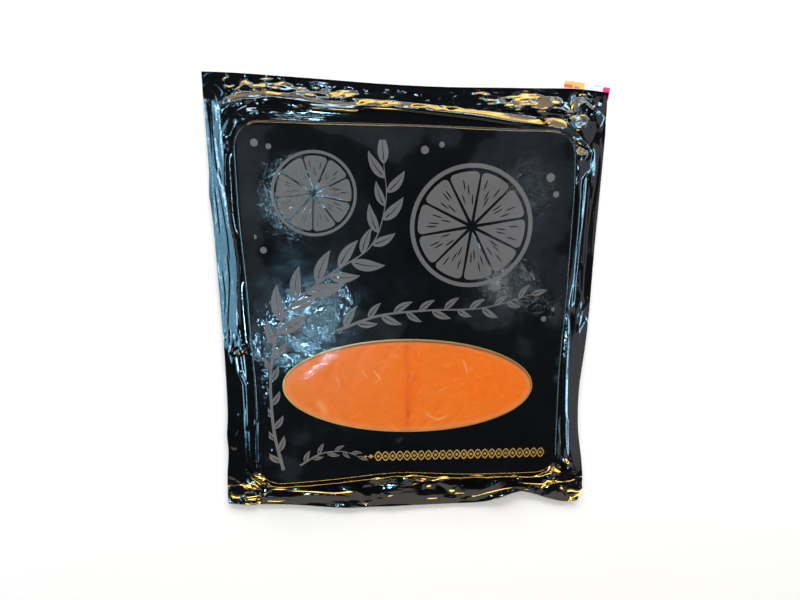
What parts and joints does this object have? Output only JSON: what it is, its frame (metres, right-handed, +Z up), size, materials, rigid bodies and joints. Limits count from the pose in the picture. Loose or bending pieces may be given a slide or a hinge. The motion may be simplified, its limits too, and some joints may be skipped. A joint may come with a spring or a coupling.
{
  "type": "pack of smoked salmon",
  "caption": "Sealed black film pack of smoked salmon slices, lying flat, with a raised front, crimped flanges and an oval window onto the fish.",
  "frame": {"origin": "middle of the underside, on the surface the pack lies on", "axes": "+Z up out of the front of the pack, +Y towards its top hem, +X to the right seen from the front"},
  "size_m": [0.243, 0.285, 0.0091],
  "materials": {
    "black_film": "glossy crinkled black packing film with printed fields",
    "clear_film": "thin clear glossy packing film",
    "salmon": "moist smoked salmon with pale fat lines",
    "sticker": "coated paper with plain colour fields"
  },
  "bodies": {
    "root": {"pouch": "black_film", "window_film": "clear_film", "slice_left": "salmon", "slice_right": "salmon", "back_sticker": "sticker"}
  },
  "joints": []
}
